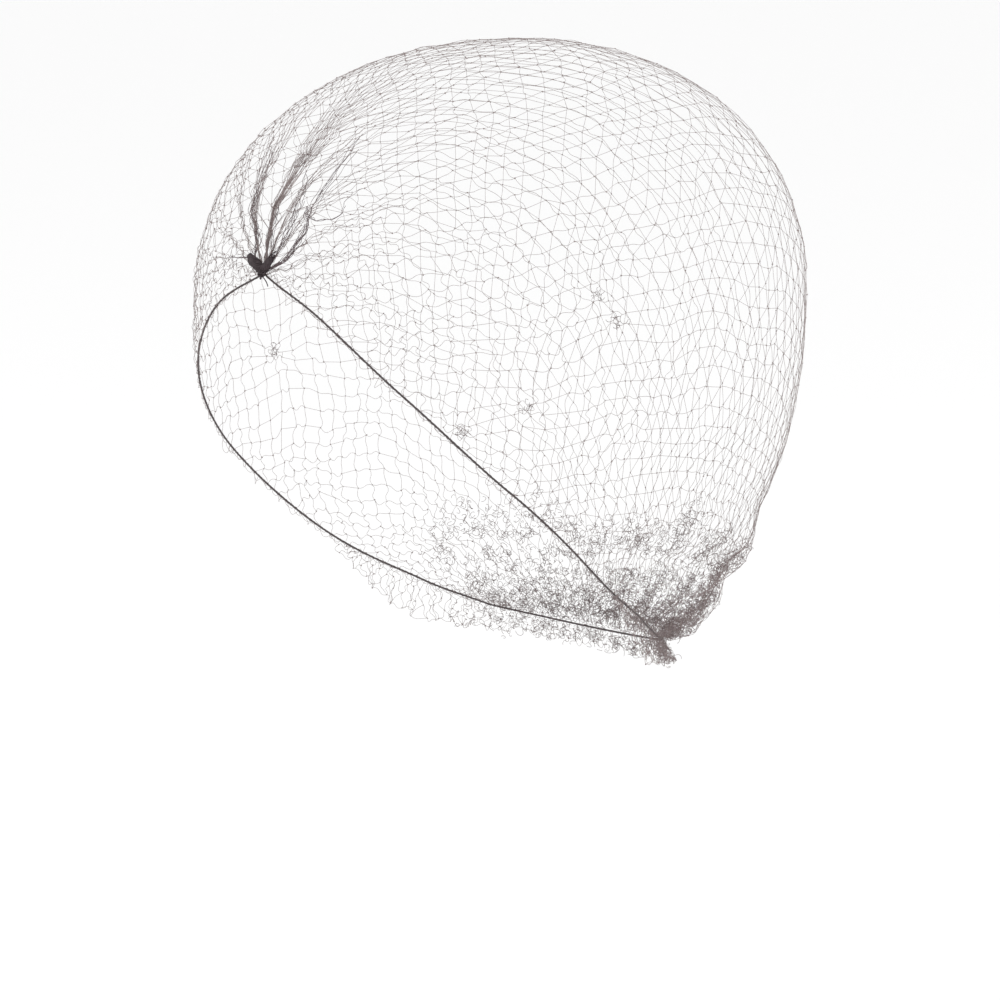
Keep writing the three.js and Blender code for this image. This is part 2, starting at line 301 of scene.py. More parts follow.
# Tubes round many paths at once: a ring of points square to each path's direction at every step, joined by
# quads, and a fan of triangles that closes the first ring and the last
def tubes(paths, radii, sides):
    steep = 0.9
    count, steps = paths.shape[:2]
    along = unit(np.gradient(paths, axis=1))
    lean = np.where(np.abs(along[..., 2:]) < steep, np.array([0, 0, 1.0]), np.array([1.0, 0, 0]))
    first = unit(np.cross(along, lean))
    second = np.cross(along, first)
    turn = fullTurn * np.arange(sides) / sides
    radii = np.broadcast_to(radii, (count, steps))[..., None, None]
    ring = np.cos(turn)[:, None] * first[:, :, None] + np.sin(turn)[:, None] * second[:, :, None]
    points = (paths[:, :, None] + radii * ring).reshape(-1, 3)
    start = (np.arange(count) * steps * sides)[:, None]
    rings = start[..., None] + (np.arange(steps - 1) * sides)[:, None]
    here = rings + np.arange(sides)
    beside = rings + (np.arange(sides) + 1) % sides
    quads = np.stack([here, beside, beside + sides, here + sides], axis=-1).reshape(-1, 4)
    fan = np.arange(1, sides - 1)
    end = start + (steps - 1) * sides
    capStart = np.stack([start + 0 * fan, start + fan + 1, start + fan], axis=-1).reshape(-1, 3)
    capEnd = np.stack([end + 0 * fan, end + fan, end + fan + 1], axis=-1).reshape(-1, 3)
    return points, quads, np.concatenate([capStart, capEnd])


toneDetail = 2  # finer steps of the tone's noise


# Shared thread look: two tones mixed by fine noise in the object's own coordinates
def makeThreadGroup():
    group = bpy.data.node_groups.new("threadTone", "ShaderNodeTree")
    sockets = {"Light": "NodeSocketColor", "Dark": "NodeSocketColor", "Scale": "NodeSocketFloat"}
    for name, kind in sockets.items():
        group.interface.new_socket(name=name, in_out="INPUT", socket_type=kind)
    group.interface.new_socket(name="Color", in_out="OUTPUT", socket_type="NodeSocketColor")
    given = group.nodes.new("NodeGroupInput")
    made = group.nodes.new("NodeGroupOutput")
    place = group.nodes.new("ShaderNodeTexCoord")
    noise = group.nodes.new("ShaderNodeTexNoise")
    mix = group.nodes.new("ShaderNodeMix")
    mix.data_type = "RGBA"
    noise.inputs["Detail"].default_value = toneDetail
    group.links.new(place.outputs["Object"], noise.inputs["Vector"])
    group.links.new(given.outputs["Scale"], noise.inputs["Scale"])
    group.links.new(noise.outputs["Fac"], mix.inputs["Factor"])
    group.links.new(given.outputs["Light"], mix.inputs["A"])
    group.links.new(given.outputs["Dark"], mix.inputs["B"])
    group.links.new(mix.outputs["Result"], made.inputs["Color"])
    return group


threadGroup = makeThreadGroup()


# One thread material: the shared tone as its base colour, with its own two colours, noise scale and roughness
def makeMaterial(name, light, dark, scale, roughness):
    material = bpy.data.materials.new(name)
    material.use_nodes = True
    nodes = material.node_tree.nodes
    tone = nodes.new("ShaderNodeGroup")
    tone.node_tree = threadGroup
    tone.inputs["Light"].default_value = (*light, 1)
    tone.inputs["Dark"].default_value = (*dark, 1)
    tone.inputs["Scale"].default_value = scale
    shader = nodes["Principled BSDF"]
    shader.inputs["Roughness"].default_value = roughness
    material.node_tree.links.new(tone.outputs["Color"], shader.inputs["Base Color"])
    return material


# Thread looks: light tone, dark tone, noise scale, roughness; some are darker copies of the net thread with
# painted shade
looks = {
    "netThread": ((0.36, 0.295, 0.285), (0.2, 0.16, 0.156), 60, 0.8),
    # Ruffle thread: the net thread darkened with painted shade of its crowded, crumpled folds
    "ruffleThreadPaintedShade": ((0.26, 0.205, 0.2), (0.15, 0.115, 0.113), 120, 0.8),
    # Bunched thread: the net thread darkened with painted shade where the streaks crowd together
    "bunchedThreadPaintedShade": ((0.18, 0.132, 0.138), (0.095, 0.068, 0.074), 90, 0.75),
    "elastic": ((0.075, 0.058, 0.058), (0.04, 0.03, 0.032), 300, 0.6),
    # Tie cord: the elastic's own dark colour on the knot and tail, and painted shade on the gathered net of
    # the V
    "tieCordAndGatherPaintedShade": ((0.075, 0.052, 0.058), (0.018, 0.012, 0.014), 900, 0.7),
}
materials = {name: makeMaterial(name, *values) for name, values in looks.items()}


# One mesh object from a shape's points, quads and triangles, in millimetres about the form's centre
def makePiece(name, shape, look, node):
    points, quads, triangles = shape
    mesh = bpy.data.meshes.new(name)
    metres = (points - np.array([0, 0, form["rise"]])) * millimetre
    corners = np.concatenate([quads.ravel(), triangles.ravel()])
    starts = np.concatenate([
        np.arange(0, quads.size, 4),
        quads.size + np.arange(0, triangles.size, 3),
    ])
    mesh.vertices.add(len(metres))
    mesh.vertices.foreach_set("co", metres.astype(np.float32).ravel())
    mesh.loops.add(len(corners))
    mesh.loops.foreach_set("vertex_index", corners.astype(np.int32))
    mesh.polygons.add(len(starts))
    mesh.polygons.foreach_set("loop_start", starts.astype(np.int32))
    mesh.polygons.foreach_set("use_smooth", np.ones(len(starts), bool))
    mesh.update(calc_edges=True)
    mesh.validate()
    mesh.materials.append(materials[look])
    piece = bpy.data.objects.new(name, mesh)
    bpy.context.collection.objects.link(piece)
    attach(piece, "root")
    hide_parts(node)
    print("stage:", name, 2 * len(quads) + len(triangles), "triangles")


# Snags where the mesh is drawn together: place on the form, reach and share of the way
snags = [
    ((73.4, -32.9, 2.6), 7, 0.75),
    ((63.9, -60.2, -20.5), 8, 0.75),
    ((53.3, -75.8, -26.5), 7, 0.7),
    ((66, -16, -64), 7, 0.6),
    ((-72, -30, -20), 8, 0.7),
    ((-40, 78, -10), 7, 0.7),
]


# Knots of the lattice: even courses and rows on the surface that drift and shiver along it, draw in to each
# snag by a bell curve and stand off; every second place holds a knot
def latticeKnots():
    column, row = np.meshgrid(
        np.arange(net["columns"] + 1),
        np.arange(-net["rows"], net["rows"] + 1),
        indexing="ij",
    )
    u = column / net["columns"]
    v = drawnRow(u, row / net["rows"])
    points = surfacePoint(u, v)
    normals = outward(points)
    fromEdge = np.minimum(1 - np.abs(row) / net["rows"], 1 - u)
    free = smoothStep(fromEdge, 0, net["stillEdge"]) * smoothStep(u * crownLength, *net["stillTie"])
    drift = np.stack([softNoise(points, net["driftSize"]) for _ in range(3)], axis=-1) * net["drift"]
    shiver = np.stack([softNoise(points, net["shiverSize"]) for _ in range(3)], axis=-1) * net["shiver"]
    move = (drift + shiver) * free[..., None]
    for place, reach, draw in snags:
        toward = np.array(place) - points
        move = move + draw * toward * np.exp(-(toward ** 2).sum(axis=-1, keepdims=True) / reach ** 2)
    move -= (move * normals).sum(axis=-1, keepdims=True) * normals
    points = points + move
    normals = outward(points)
    standOff = net["lift"] + swell(u, v) + net["fuzz"] * np.abs(rng.normal(size=u.shape))
    return points + normals * standOff[..., None], normals, (column + row) % 2 == 0


# Ends of all bars as grid places: from each knot to the next course, one row up and one row down
def latticeEnds(isKnot):
    i, j = np.nonzero(isKnot)
    found = []
    for step in (1, -1):
        inside = (i + 1 < isKnot.shape[0]) & (j + step >= 0) & (j + step < isKnot.shape[1])
        found.append(np.stack([i, j, i + 1, j + step], axis=1)[inside])
    return np.concatenate(found)


# Waves of a slack bar, as parts of the size that would use up its slack
bars = {
    "chordLimit": 0.75,
    "extraLimit": 0.4,
    "upturned": 0.35,
    "swing": 0.8,
    "sag": 0.2,
    "rise": 0.6,
    "fullWave": 0.5,
}


# Bars between knots: a straight chord, plus a half wave and a full wave whose size uses up the slack length
def barPaths(start, end, out, steps, slack):
    chord = end - start
    span = np.linalg.norm(chord, axis=1, keepdims=True) + tiny
    length = net["bar"] * (1 + net["barSpread"] * rng.normal(size=span.shape))
    wave = 2 / math.pi * np.sqrt(span * np.clip(length - span, 0, None))
    wave = np.minimum(wave, bars["chordLimit"] * span + bars["extraLimit"]) * slack
    split = rng.uniform(0, fullTurn, span.shape)
    lean = rng.uniform(0, math.pi, span.shape)
    across = np.cross(chord / span, out)
    across = -across * np.sign(across[:, 2:] + bars["upturned"] * rng.normal(size=span.shape))
    half = wave * np.abs(np.cos(split))
    sideways = half * (bars["swing"] * np.cos(lean) + bars["sag"])
    rise = half * bars["rise"] * np.sin(lean)
    full = bars["fullWave"] * wave * np.sin(split)
    t = np.linspace(0, 1, steps)[:, None]
    halfWave = np.sin(math.pi * t)
    path = start[:, None] + chord[:, None] * t + out[:, None] * rise[:, None] * halfWave
    return path + across[:, None] * (sideways[:, None] * halfWave + full[:, None] * np.sin(fullTurn * t))


# Slack of the net's bars: one value toward the crown and one away from it, blended by a smooth step to the
# hem's value and by a bell curve to the tie's
def netSlack(ends):
    fromTop = np.abs(ends[:, [1, 3]] - net["rows"])
    slack = np.where(fromTop[:, 1] < fromTop[:, 0], net["levelSlack"], net["uprightSlack"])
    nearHem = smoothStep(fromTop[:, 0] / net["rows"], net["hemSlackFrom"], 1)
    slack = slack + (net["hemSlack"] - slack) * nearHem
    along = ends[:, 0] / net["columns"] * crownLength / net["streakReach"]
    return (slack + (net["tieSlack"] - slack) * np.exp(-(along ** 2)))[:, None]


knots, normals, isKnot = latticeKnots()
print("stage: lattice", int(isKnot.sum()), "knots")
netEnds = latticeEnds(isKnot)
startPoints = knots[netEnds[:, 0], netEnds[:, 1]]
endPoints = knots[netEnds[:, 2], netEnds[:, 3]]
startNormals = normals[netEnds[:, 0], netEnds[:, 1]]
netPaths = barPaths(startPoints, endPoints, startNormals, net["barSteps"], netSlack(netEnds))
onLeft = startPoints[:, 0] + endPoints[:, 0] > 0
for name, chosen in (("netStrandsLeft", onLeft), ("netStrandsRight", ~onLeft)):
    strands = tubes(netPaths[chosen], net["thread"] / 2, net["sides"])
    makePiece(name, strands, "netThread", "net_crown")

# Small ball that every knot is made from: an icosahedron
golden = (1 + 5 ** 0.5) / 2
ball = np.array([
    (-1, golden, 0), (1, golden, 0), (-1, -golden, 0), (1, -golden, 0),
    (0, -1, golden), (0, 1, golden), (0, -1, -golden), (0, 1, -golden),
    (golden, 0, -1), (golden, 0, 1), (-golden, 0, -1), (-golden, 0, 1),
]) / math.hypot(1, golden)
ballFaces = np.array([
    (0, 11, 5), (0, 5, 1), (0, 1, 7), (0, 7, 10), (0, 10, 11), (1, 5, 9), (5, 11, 4), (11, 10, 2),
    (10, 7, 6), (7, 1, 8), (3, 9, 4), (3, 4, 2), (3, 2, 6), (3, 6, 8), (3, 8, 9), (4, 9, 5),
    (2, 4, 11), (6, 2, 10), (8, 6, 7), (9, 8, 1),
])


# Lumps at many places: the ball times a random size, stretched along a random axis
def lumps(places):
    axis = unit(rng.normal(size=places.shape))
    size = net["knotSize"] * rng.uniform(1 - net["knotSpread"], 1 + net["knotSpread"], len(places))
    along = (ball[None] * axis[:, None]).sum(axis=2, keepdims=True) * axis[:, None]
    points = places[:, None] + size[:, None, None] * (ball[None] + net["knotStretch"] * along)
    faces = ballFaces[None] + (np.arange(len(places)) * len(ball))[:, None, None]
    return points.reshape(-1, 3), noQuads, faces.reshape(-1, 3)


makePiece("netKnots", lumps(knots[isKnot]), "netThread", "net_crown")

# Elastic: a covered cord, lumpy where the net's loops pass round it
elastic = {
    "radius": 0.29,
    "seat": 0.15,
    "rings": 2200,
    "sides": 8,
    "wrapPitch": 1.6,
    "wrapDepth": 0.1,
    "lumpPitch": 2.2,
    "lumpDepth": 0.16,
    "lumpPower": 8,
    "lumpDrift": 1.5,
    "lumpDriftLength": 17,
}


# Closed route: left edge from tie to nape corner, across the nape and back along the right edge
def elasticRoute():
    left = edgeLine(0)
    across = courseLine(napeMiddle(), left[-1])[::-1]
    half = np.concatenate([left, across[1:]])
    return np.concatenate([half, half[-2:0:-1] * mirror, half[:1]])


# Cord along its route: rings whose radius waves by a cosine that winds along it, and rises at each lump by a
# high power of a cosine
def elasticShape():
    sides = elastic["sides"]
    shares = np.arange(elastic["rings"]) / elastic["rings"]
    route, length = alongLine(elasticRoute(), shares)
    out = outward(route)
    across = np.cross(unit(np.roll(route, -1, axis=0) - np.roll(route, 1, axis=0)), out)
    turn = fullTurn * np.arange(sides) / sides
    distance = (shares * length)[:, None]
    wrap = 1 + elastic["wrapDepth"] * np.cos(turn - fullTurn * distance / elastic["wrapPitch"])
    drift = elastic["lumpDrift"] * np.sin(distance / elastic["lumpDriftLength"])
    lump = np.cos(math.pi * distance / elastic["lumpPitch"] + drift) ** elastic["lumpPower"]
    radius = elastic["radius"] * (wrap + elastic["lumpDepth"] * lump)
    middle = route + out * (elastic["seat"] + elastic["radius"])
    ring = np.cos(turn)[:, None] * out[:, None] + np.sin(turn)[:, None] * across[:, None]
    points = (middle[:, None] + radius[..., None] * ring).reshape(-1, 3)
    here = np.arange(elastic["rings"])[:, None] * sides
    ahead = np.roll(here, -1, axis=0)
    side = np.arange(sides)
    beside = (side + 1) % sides
    quads = np.stack([here + side, here + beside, ahead + beside, ahead + side], axis=-1)
    print("stage: elastic length", round(length, 1))
    return points, quads.reshape(-1, 4), noTriangles


makePiece("elasticLoop", elasticShape(), "elastic", "edge_elastic")

# Rolled V of gathered net above the tie: a core wound round with bunched thread, both darkened with painted
# shade
gather = {
    "across": [-5.9, -2.7, 0.9, 2.7, 3.7],
    "above": [4.3, 2.6, 1.0, 2.6, 5.2],
    "thick": [1.9, 2.8, 2.6, 2.2, 1.3],
    "flatness": 0.8,
    "lift": 1.3,
    "taper": 0.7,
    "taperPower": 12,
    "steps": 31,
    "core": 0.8,
    "coreEnd": 0.88,
    "coreSides": 12,
    "threads": 60,
    "thread": 0.24,
    "threadSides": 4,
    "turns": 2.2,
    "startTurn": 7,
    "turnWave": 0.5,
    "turnWaves": 2,
    "turnShift": 3,
    "ring": (0.8, 1.1),
    "ringWave": 0.1,
    "ringWaves": 5,
    "uneven": 0.28,
    "fray": 1.8,
    "frayPower": 5,
}


# The V at places t along its rows: its middle, half thickness, and unit vectors along, across and out
def rollAt(t):
    rows = np.arange(len(gather["across"]))
    seat = fromTie(smoothRows(rows, gather["across"], t), smoothRows(rows, gather["above"], t))
    fromMiddle = np.abs(2 * t / rows[-1] - 1)
    thick = smoothRows(rows, gather["thick"], t) / 2
    thick = thick * (1 - gather["taper"] * fromMiddle ** gather["taperPower"])
    out = outward(seat)
    middle = seat + out * (gather["lift"] + gather["flatness"] * thick[..., None])
    along = unit(np.gradient(middle, axis=-2))
    return middle, thick, along, np.cross(along, out), out


# Threads wound along the V: a turning ring offset, with ends that stop unevenly on the right arm and fray out
def rollThreads():
    lastRow = len(gather["across"]) - 1
    spin = rng.uniform(0, fullTurn, (gather["threads"], 1))
    t = np.linspace(0, lastRow, gather["steps"]) * (1 - gather["uneven"] * spin / fullTurn)
    middle, thick, along, across, out = rollAt(t)
    start = gather["startTurn"] * spin
    turned = start + gather["turns"] * math.pi * t / lastRow
    turned = turned + gather["turnWave"] * np.sin(gather["turnWaves"] * t + gather["turnShift"] * spin)
    ring = thick * rng.uniform(*gather["ring"], spin.shape)
    ring = ring * (1 + gather["ringWave"] * np.sin(gather["ringWaves"] * t + start))
    fray = gather["fray"] * rng.uniform(0, 1, spin.shape) * np.sign(t - lastRow / 2)
    fray = fray * np.abs(2 * t / lastRow - 1) ** gather["frayPower"]
    path = middle + (ring * np.cos(turned))[..., None] * across + fray[..., None] * along
    return path + (ring * gather["flatness"] * np.sin(turned))[..., None] * out


# Core of the V: one tapered tube along its middle
def rollCore():
    lastRow = len(gather["across"]) - 1
    middle, thick = rollAt(np.linspace(0, gather["coreEnd"] * lastRow, gather["steps"])[None])[:2]
    return tubes(middle, thick * gather["core"], gather["coreSides"])


gatherThreads = tubes(rollThreads(), gather["thread"] / 2, gather["threadSides"])
# The V's threads and core: net thread darkened with painted shade
makePiece("gatherThreads", gatherThreads, "tieCordAndGatherPaintedShade", "front_gather")
makePiece("gatherCore", rollCore(), "tieCordAndGatherPaintedShade", "front_gather")

# Streaks of bunched thread that fan out from the V, and two stray strands: places from the tie along each
streaks = {
    "routes": [
        ([-5.2, -5, -9.8, -12.6, -15.7, -20.4], [4, 10.1, 14.4, 20, 29.5, 36.5]),
        ([2.6, 0.9, -0.4, -0.6, 0.7, 0.8], [3.4, 11.3, 16.6, 22, 29, 38]),
        ([2.9, 6.4, 6.4, 5.5, 2.8, 3.4], [3.2, 12.4, 18, 25.5, 31.5, 40]),
        ([1.6, 8.7, 12.3, 11.6, 12.8, 13.4], [0.9, 4.8, 12, 18.5, 27, 39]),
    ],
    "threads": [11, 6, 9, 11],
    "spread": [0.3, 0.6, 0.8, 1.2, 2, 3],
    "strays": [
        ([9.6, 11.6, 15.6, 20.2, 21.9, 21.6], [19, 16.4, 15.5, 16.3, 20.2, 25]),
        ([-4.5, -8.5, -12, -17, -23.4, -27], [3.6, 3.6, 3.4, 3, 2.2, 1.5]),
    ],
    "strayThreads": 3,
    "straySpread": [0.2, 0.2, 0.2, 0.2, 0.3, 0.4],
    "lift": [1.2, 1.9, 1.7, 1.3, 0.9, 0.6],
    "liftWave": 0.35,
    "liftWaves": 4,
    "thread": 0.15,
    "sides": 4,
    "steps": 34,
    "shortest": 0.4,
    "curl": 0.4,
    "curlWaves": (5.3, 11),
    "curlSecond": 0.6,
    "curlUp": 0.4,
}


# Threads along a route: the route's smooth line, plus each thread's own offset that widens along it
# and a curl of two sine waves
def streakPaths(across, above, count, spread):
    stops = np.arange(len(across))
    ending = rng.uniform(streaks["shortest"], 1, (count, 1)) * stops[-1]
    t = np.linspace(0, 1, streaks["steps"])[None] * ending
    turn = rng.uniform(0, fullTurn, (3, count, 1))
    wide = smoothRows(stops, spread, t) * rng.normal(size=(count, 1))
    slow, quick = streaks["curlWaves"]
    curl = np.sin(slow * t + turn[0]) + streaks["curlSecond"] * np.sin(quick * t + turn[1])
    curl = streaks["curl"] * curl * np.minimum(t, 1)
    up = smoothRows(stops, above, t) + streaks["curlUp"] * curl
    points = fromTie(smoothRows(stops, across, t) + wide + curl, up)
    lifted = 1 - streaks["liftWave"] + streaks["liftWave"] * np.sin(streaks["liftWaves"] * t + turn[2])
    return points + outward(points) * (smoothRows(stops, streaks["lift"], t) * lifted)[..., None]


streakThreads = [
    streakPaths(*route, count, streaks["spread"])
    for route, count in zip(streaks["routes"], streaks["threads"])
]
for route in streaks["strays"]:
    streakThreads.append(streakPaths(*route, streaks["strayThreads"], streaks["straySpread"]))
gatherStreaks = tubes(np.concatenate(streakThreads), streaks["thread"] / 2, streaks["sides"])
# Streak and stray threads: net thread darkened with painted shade
makePiece("gatherStreaks", gatherStreaks, "bunchedThreadPaintedShade", "net_crown")

# Tied knot under the V: an overhand knot of the elastic with one short tail
knot = {
    "size": 0.36,
    "thread": 0.3,
    "sides": 8,
    "steps": 90,
    "drop": 0.5,
    "height": 1.5,
    "tail": (2.8, -3.0),
    "tailThread": 0.16,
    "tailSides": 6,
    "tailSteps": 12,
    "tailBend": 0.5,
    "tailFall": 0.6,
}
knotSeat = fromTie(np.array([0.0]), np.array([-knot["drop"]]))
knotOut = outward(knotSeat)[0]
knotAcross = unit(np.cross((0, 0, 1), knotOut))
knotUp = np.cross(knotOut, knotAcross)
knotMiddle = knotSeat[0] + knot["height"] * knotOut


# Overhand knot: the trefoil curve, sin t + 2 sin 2t across, cos t - 2 cos 2t up and -sin 3t out
def knotPath():
    t = np.linspace(0, fullTurn, knot["steps"])
    trefoil = np.stack([np.sin(t) + 2 * np.sin(2 * t), np.cos(t) - 2 * np.cos(2 * t), -np.sin(3 * t)], axis=1)
    return knotMiddle + knot["size"] * trefoil @ np.stack([knotAcross, knotUp, knotOut])


# Tail of the knot: a straight line across and down, bent by a half wave and falling back to the form
def tailPath():
    t = np.linspace(0, 1, knot["tailSteps"])[:, None]
    straight = knotMiddle + t * (knot["tail"][0] * knotAcross + knot["tail"][1] * knotUp)
    return straight + knot["tailBend"] * np.sin(math.pi * t) * knotAcross - knot["tailFall"] * t * knotOut


tieKnot = tubes(knotPath()[None], knot["thread"], knot["sides"])
makePiece("tieKnot", tieKnot, "tieCordAndGatherPaintedShade", "front_knot")
tieTail = tubes(tailPath()[None], knot["tailThread"], knot["tailSides"])
makePiece("tieTail", tieTail, "tieCordAndGatherPaintedShade", "front_knot")

# Free margin of the net: more mesh that hangs below the elastic, across the nape and past its corners
frill = {
    "steps": 156,  # half meshes from end to end
    "levels": 3,
    "along": [0, 20, 40, 56, 70, 84, 98],  # from the middle of the nape, with the drop at each
    "hang": [5.6, 5.8, 6.6, 9.5, 12, 9, 2],
    "stand": 0.5,
    "flare": 2.4,
    "wave": 1.2,
    "waveLength": 7,
    "fluff": 0.55,
    "barSteps": 9,
    "slack": 0.8,
}


# Knots of the free margin: each level hangs below the elastic by its share of the drop, and stands out by its
# share of a flare with a cosine wave along the nape
def frillLattice():
    level, step = np.meshgrid(
        np.arange(frill["levels"] + 1),
        np.arange(-frill["steps"] // 2, frill["steps"] // 2 + 1),
        indexing="ij",
    )
    along = step * 2 * frill["along"][-1] / frill["steps"]
    left = edgeLine(0)[::-1]
    line = np.concatenate([courseLine(napeMiddle(), left[0]), left[1:]])
    seat = alongLine(line, np.abs(along) / alongLine(line, [1])[1])[0]
    seat[..., 0] *= np.where(step < 0, -1, 1)
    out = unit(outward(seat) * np.array([1, 1, 0]))
    share = level / frill["levels"]
    wave = frill["wave"] * np.cos(fullTurn * along / frill["waveLength"])
    stand = frill["stand"] + share * (frill["flare"] + wave)
    hang = share * smoothRows(frill["along"], frill["hang"], np.abs(along))
    points = seat + out * stand[..., None] - np.array([0, 0, 1]) * hang[..., None]
    points = points + frill["fluff"] * rng.normal(size=seat.shape) * share[..., None]
    return points, out, (level + step) % 2 == 0


# Bars along the last level as grid places: from each knot to the next one beside it
def lastLevelEnds(isKnot):
    j = np.nonzero(isKnot[-1])[0]
    last = np.full(len(j) - 1, len(isKnot) - 1)
    return np.stack([last, j[:-1], last, j[1:]], axis=1)


frillKnots, frillOut, isFrill = frillLattice()
frillEnds = np.concatenate([latticeEnds(isFrill), lastLevelEnds(isFrill)])
frillPaths = barPaths(
    frillKnots[frillEnds[:, 0], frillEnds[:, 1]],
    frillKnots[frillEnds[:, 2], frillEnds[:, 3]],
    frillOut[frillEnds[:, 0], frillEnds[:, 1]],
    frill["barSteps"],
    frill["slack"],
)
frillStrands = tubes(frillPaths, net["thread"] / 2, net["sides"])
makePiece("frillStrands", frillStrands, "netThread", "nape_frill")
makePiece("frillKnots", lumps(frillKnots[isFrill]), "netThread", "nape_frill")

# Slack loops of thread past the elastic on both sides
loops = {
    "count": 110,
    "from": 0.025,
    "to": 0.985,
    "narrow": 2,
    "wide": 5.5,
    "deep": 1.1,
    "deepShape": (1.5, 0.7),
    "deepest": 4,
    "sway": 0.6,
    "stand": 0.5,
    "bulge": 0.4,
    "thread": 0.12,
    "steps": 11,
}


# Hanging loops: along a short stretch of the edge, swung past the elastic by a half wave of random depth
def hemLoopPaths():
    count = loops["count"]
    both = (2 * count, 1)
    u = np.tile((np.arange(count) + rng.uniform(0, 1, count)) / count, 2)
    u = loops["from"] + (loops["to"] - loops["from"]) * u
    width = rng.uniform(loops["narrow"], loops["wide"], 2 * count) / hemLength
    t = np.linspace(0, 1, loops["steps"])[None]
    halfWave = np.sin(math.pi * t)
    points = alongLine(edgeLine(0), u[:, None] + width[:, None] * (t - 0.5))[0]
    out = outward(points)
    ahead = unit(np.gradient(points, axis=1))
    past = np.cross(out, ahead)
    past *= -np.sign(past[..., 2:] + tiny)
    deep = np.minimum(loops["deep"] * rng.gamma(*loops["deepShape"], 2 * count), loops["deepest"])
    sway = loops["sway"] * rng.normal(size=both) * np.sin(fullTurn * t)
    stand = loops["stand"] + loops["bulge"] * np.abs(rng.normal(size=both)) * halfWave
    path = points + past * (deep[:, None] * halfWave)[..., None]
    path = path + ahead * sway[..., None] + out * stand[..., None]
    path[count:] *= mirror
    return path


hemLoops = tubes(hemLoopPaths(), loops["thread"] / 2, net["sides"])
makePiece("hemLoops", hemLoops, "netThread", "net_crown")

# Crumpled thread: small open curls
curls = {
    "size": (0.5, 1.4),
    "flat": (0.5, 1),
    "arc": (0.6, 1.9),
    "start": (0, 6),
    "tilt": 0.8,
    "climb": 0.25,
    "thread": 0.15,
    "steps": 10,
}


# Open curls: part of an ellipse in a random plane about each centre, with a slow climb along its axis
def curlPaths(centres, out):
    each = (len(centres), 1, 1)
    first = unit(rng.normal(size=centres.shape))
    second = unit(np.cross(first, out + curls["tilt"] * rng.normal(size=centres.shape)))
    size = rng.uniform(*curls["size"], each)
    flat = rng.uniform(*curls["flat"], each)
    arc = rng.uniform(*curls["arc"], each) * math.pi
    t = arc * np.linspace(-0.5, 0.5, curls["steps"])[:, None] + rng.uniform(*curls["start"], each)
    path = centres[:, None] + size * (np.cos(t) * first[:, None] + flat * np.sin(t) * second[:, None])
    return path + curls["climb"] * size * t * np.cross(first, second)[:, None]


# Curls of the ruffle: how they spread round the nape, in two bands above it, and through its depth
ruffle = {
    "curls": 3400,
    "reach": 0.9,
    "crowding": 1.4,
    "lowerShare": 0.74,
    "lowerTop": 28,
    "lowerCrowding": (1.2, 1.3),
    "upperFoot": 30,
    "upperHeight": 16,
    "upperCrowding": (1.2, 1.5),
    "level": 0.92,
    "longLump": 0.1,
    "longLumps": 9,
    "lumpShift": 1,
    "shortLump": 0.07,
    "shortLumps": 23,
    "stand": 0.6,
    "outerPower": 0.35,
}


# Centres of the ruffle's curls: beta draws round the nape and up each band, lumped by two sine waves, and a
# low power of an even draw that puts most of them near the outside
def ruffleCentres():
    count = ruffle["curls"]
    v = ruffle["reach"] * (2 * rng.beta(ruffle["crowding"], ruffle["crowding"], count) - 1)
    v = np.sign(v) * np.interp(np.abs(v), rowShares, gridV)
    lower = ruffle["lowerTop"] * rng.beta(*ruffle["lowerCrowding"], count)
    upper = ruffle["upperFoot"] + ruffle["upperHeight"] * rng.beta(*ruffle["upperCrowding"], count)
    above = np.where(rng.uniform(size=count) < ruffle["lowerShare"], lower, upper)
    longLump = ruffle["longLump"] * np.sin(ruffle["longLumps"] * v + ruffle["lumpShift"])
    above = above * (ruffle["level"] + longLump + ruffle["shortLump"] * np.sin(ruffle["shortLumps"] * v))
    u = 1 - above / rowLength(np.abs(v))
    seat = surfacePoint(u, v)
    out = outward(seat)
    depth = rng.uniform(0, 1, count) ** ruffle["outerPower"]
    return seat + out * (ruffle["stand"] + swell(u, v) * depth)[:, None], out


# Curls round each snag
snagCurls = {"each": 9, "spread": 0.9, "stand": 1.1}


# Centres of the snags' curls: normal draws round each place, set back on the form by the size of its section
def snagCentres():
    places = np.repeat(np.array([place for place, _, _ in snags], float), snagCurls["each"], axis=0)
    places = places + snagCurls["spread"] * rng.normal(size=places.shape)
    out = outward(places)
    past = planShare(places[:, 0], places[:, 1]) / levelShare(places[:, 2])
    onForm = places / np.stack([past, past, np.ones_like(past)], axis=1)
    return onForm + snagCurls["stand"] * out, out


ruffleSeats, ruffleOut = ruffleCentres()
snagSeats, snagOut = snagCentres()
curlLines = curlPaths(np.concatenate([ruffleSeats, snagSeats]), np.concatenate([ruffleOut, snagOut]))
curledThreads = tubes(curlLines, curls["thread"] / 2, net["sides"])
# Curls in the ruffle and at the snags: net thread darkened with painted shade
makePiece("curledThreads", curledThreads, "ruffleThreadPaintedShade", "net_crown")

# Curls of the free margin across the nape
frillCurls = {"count": 520, "reach": 62, "crowding": 1.6, "spread": 0.6}


# Centres of the margin's curls: knots picked by a beta draw along the nape, each with a normal offset
def frillCentres():
    count = frillCurls["count"]
    level = rng.integers(0, frill["levels"] + 1, count)
    reach = int(frillCurls["reach"] * frill["steps"] / (2 * frill["along"][-1]))
    sideways = reach * (2 * rng.beta(frillCurls["crowding"], frillCurls["crowding"], count) - 1)
    step = frill["steps"] // 2 + np.rint(sideways).astype(int)
    offset = frillCurls["spread"] * rng.normal(size=(count, 3))
    return frillKnots[level, step] + offset, frillOut[level, step]


marginCurls = tubes(curlPaths(*frillCentres()), curls["thread"] / 2, net["sides"])
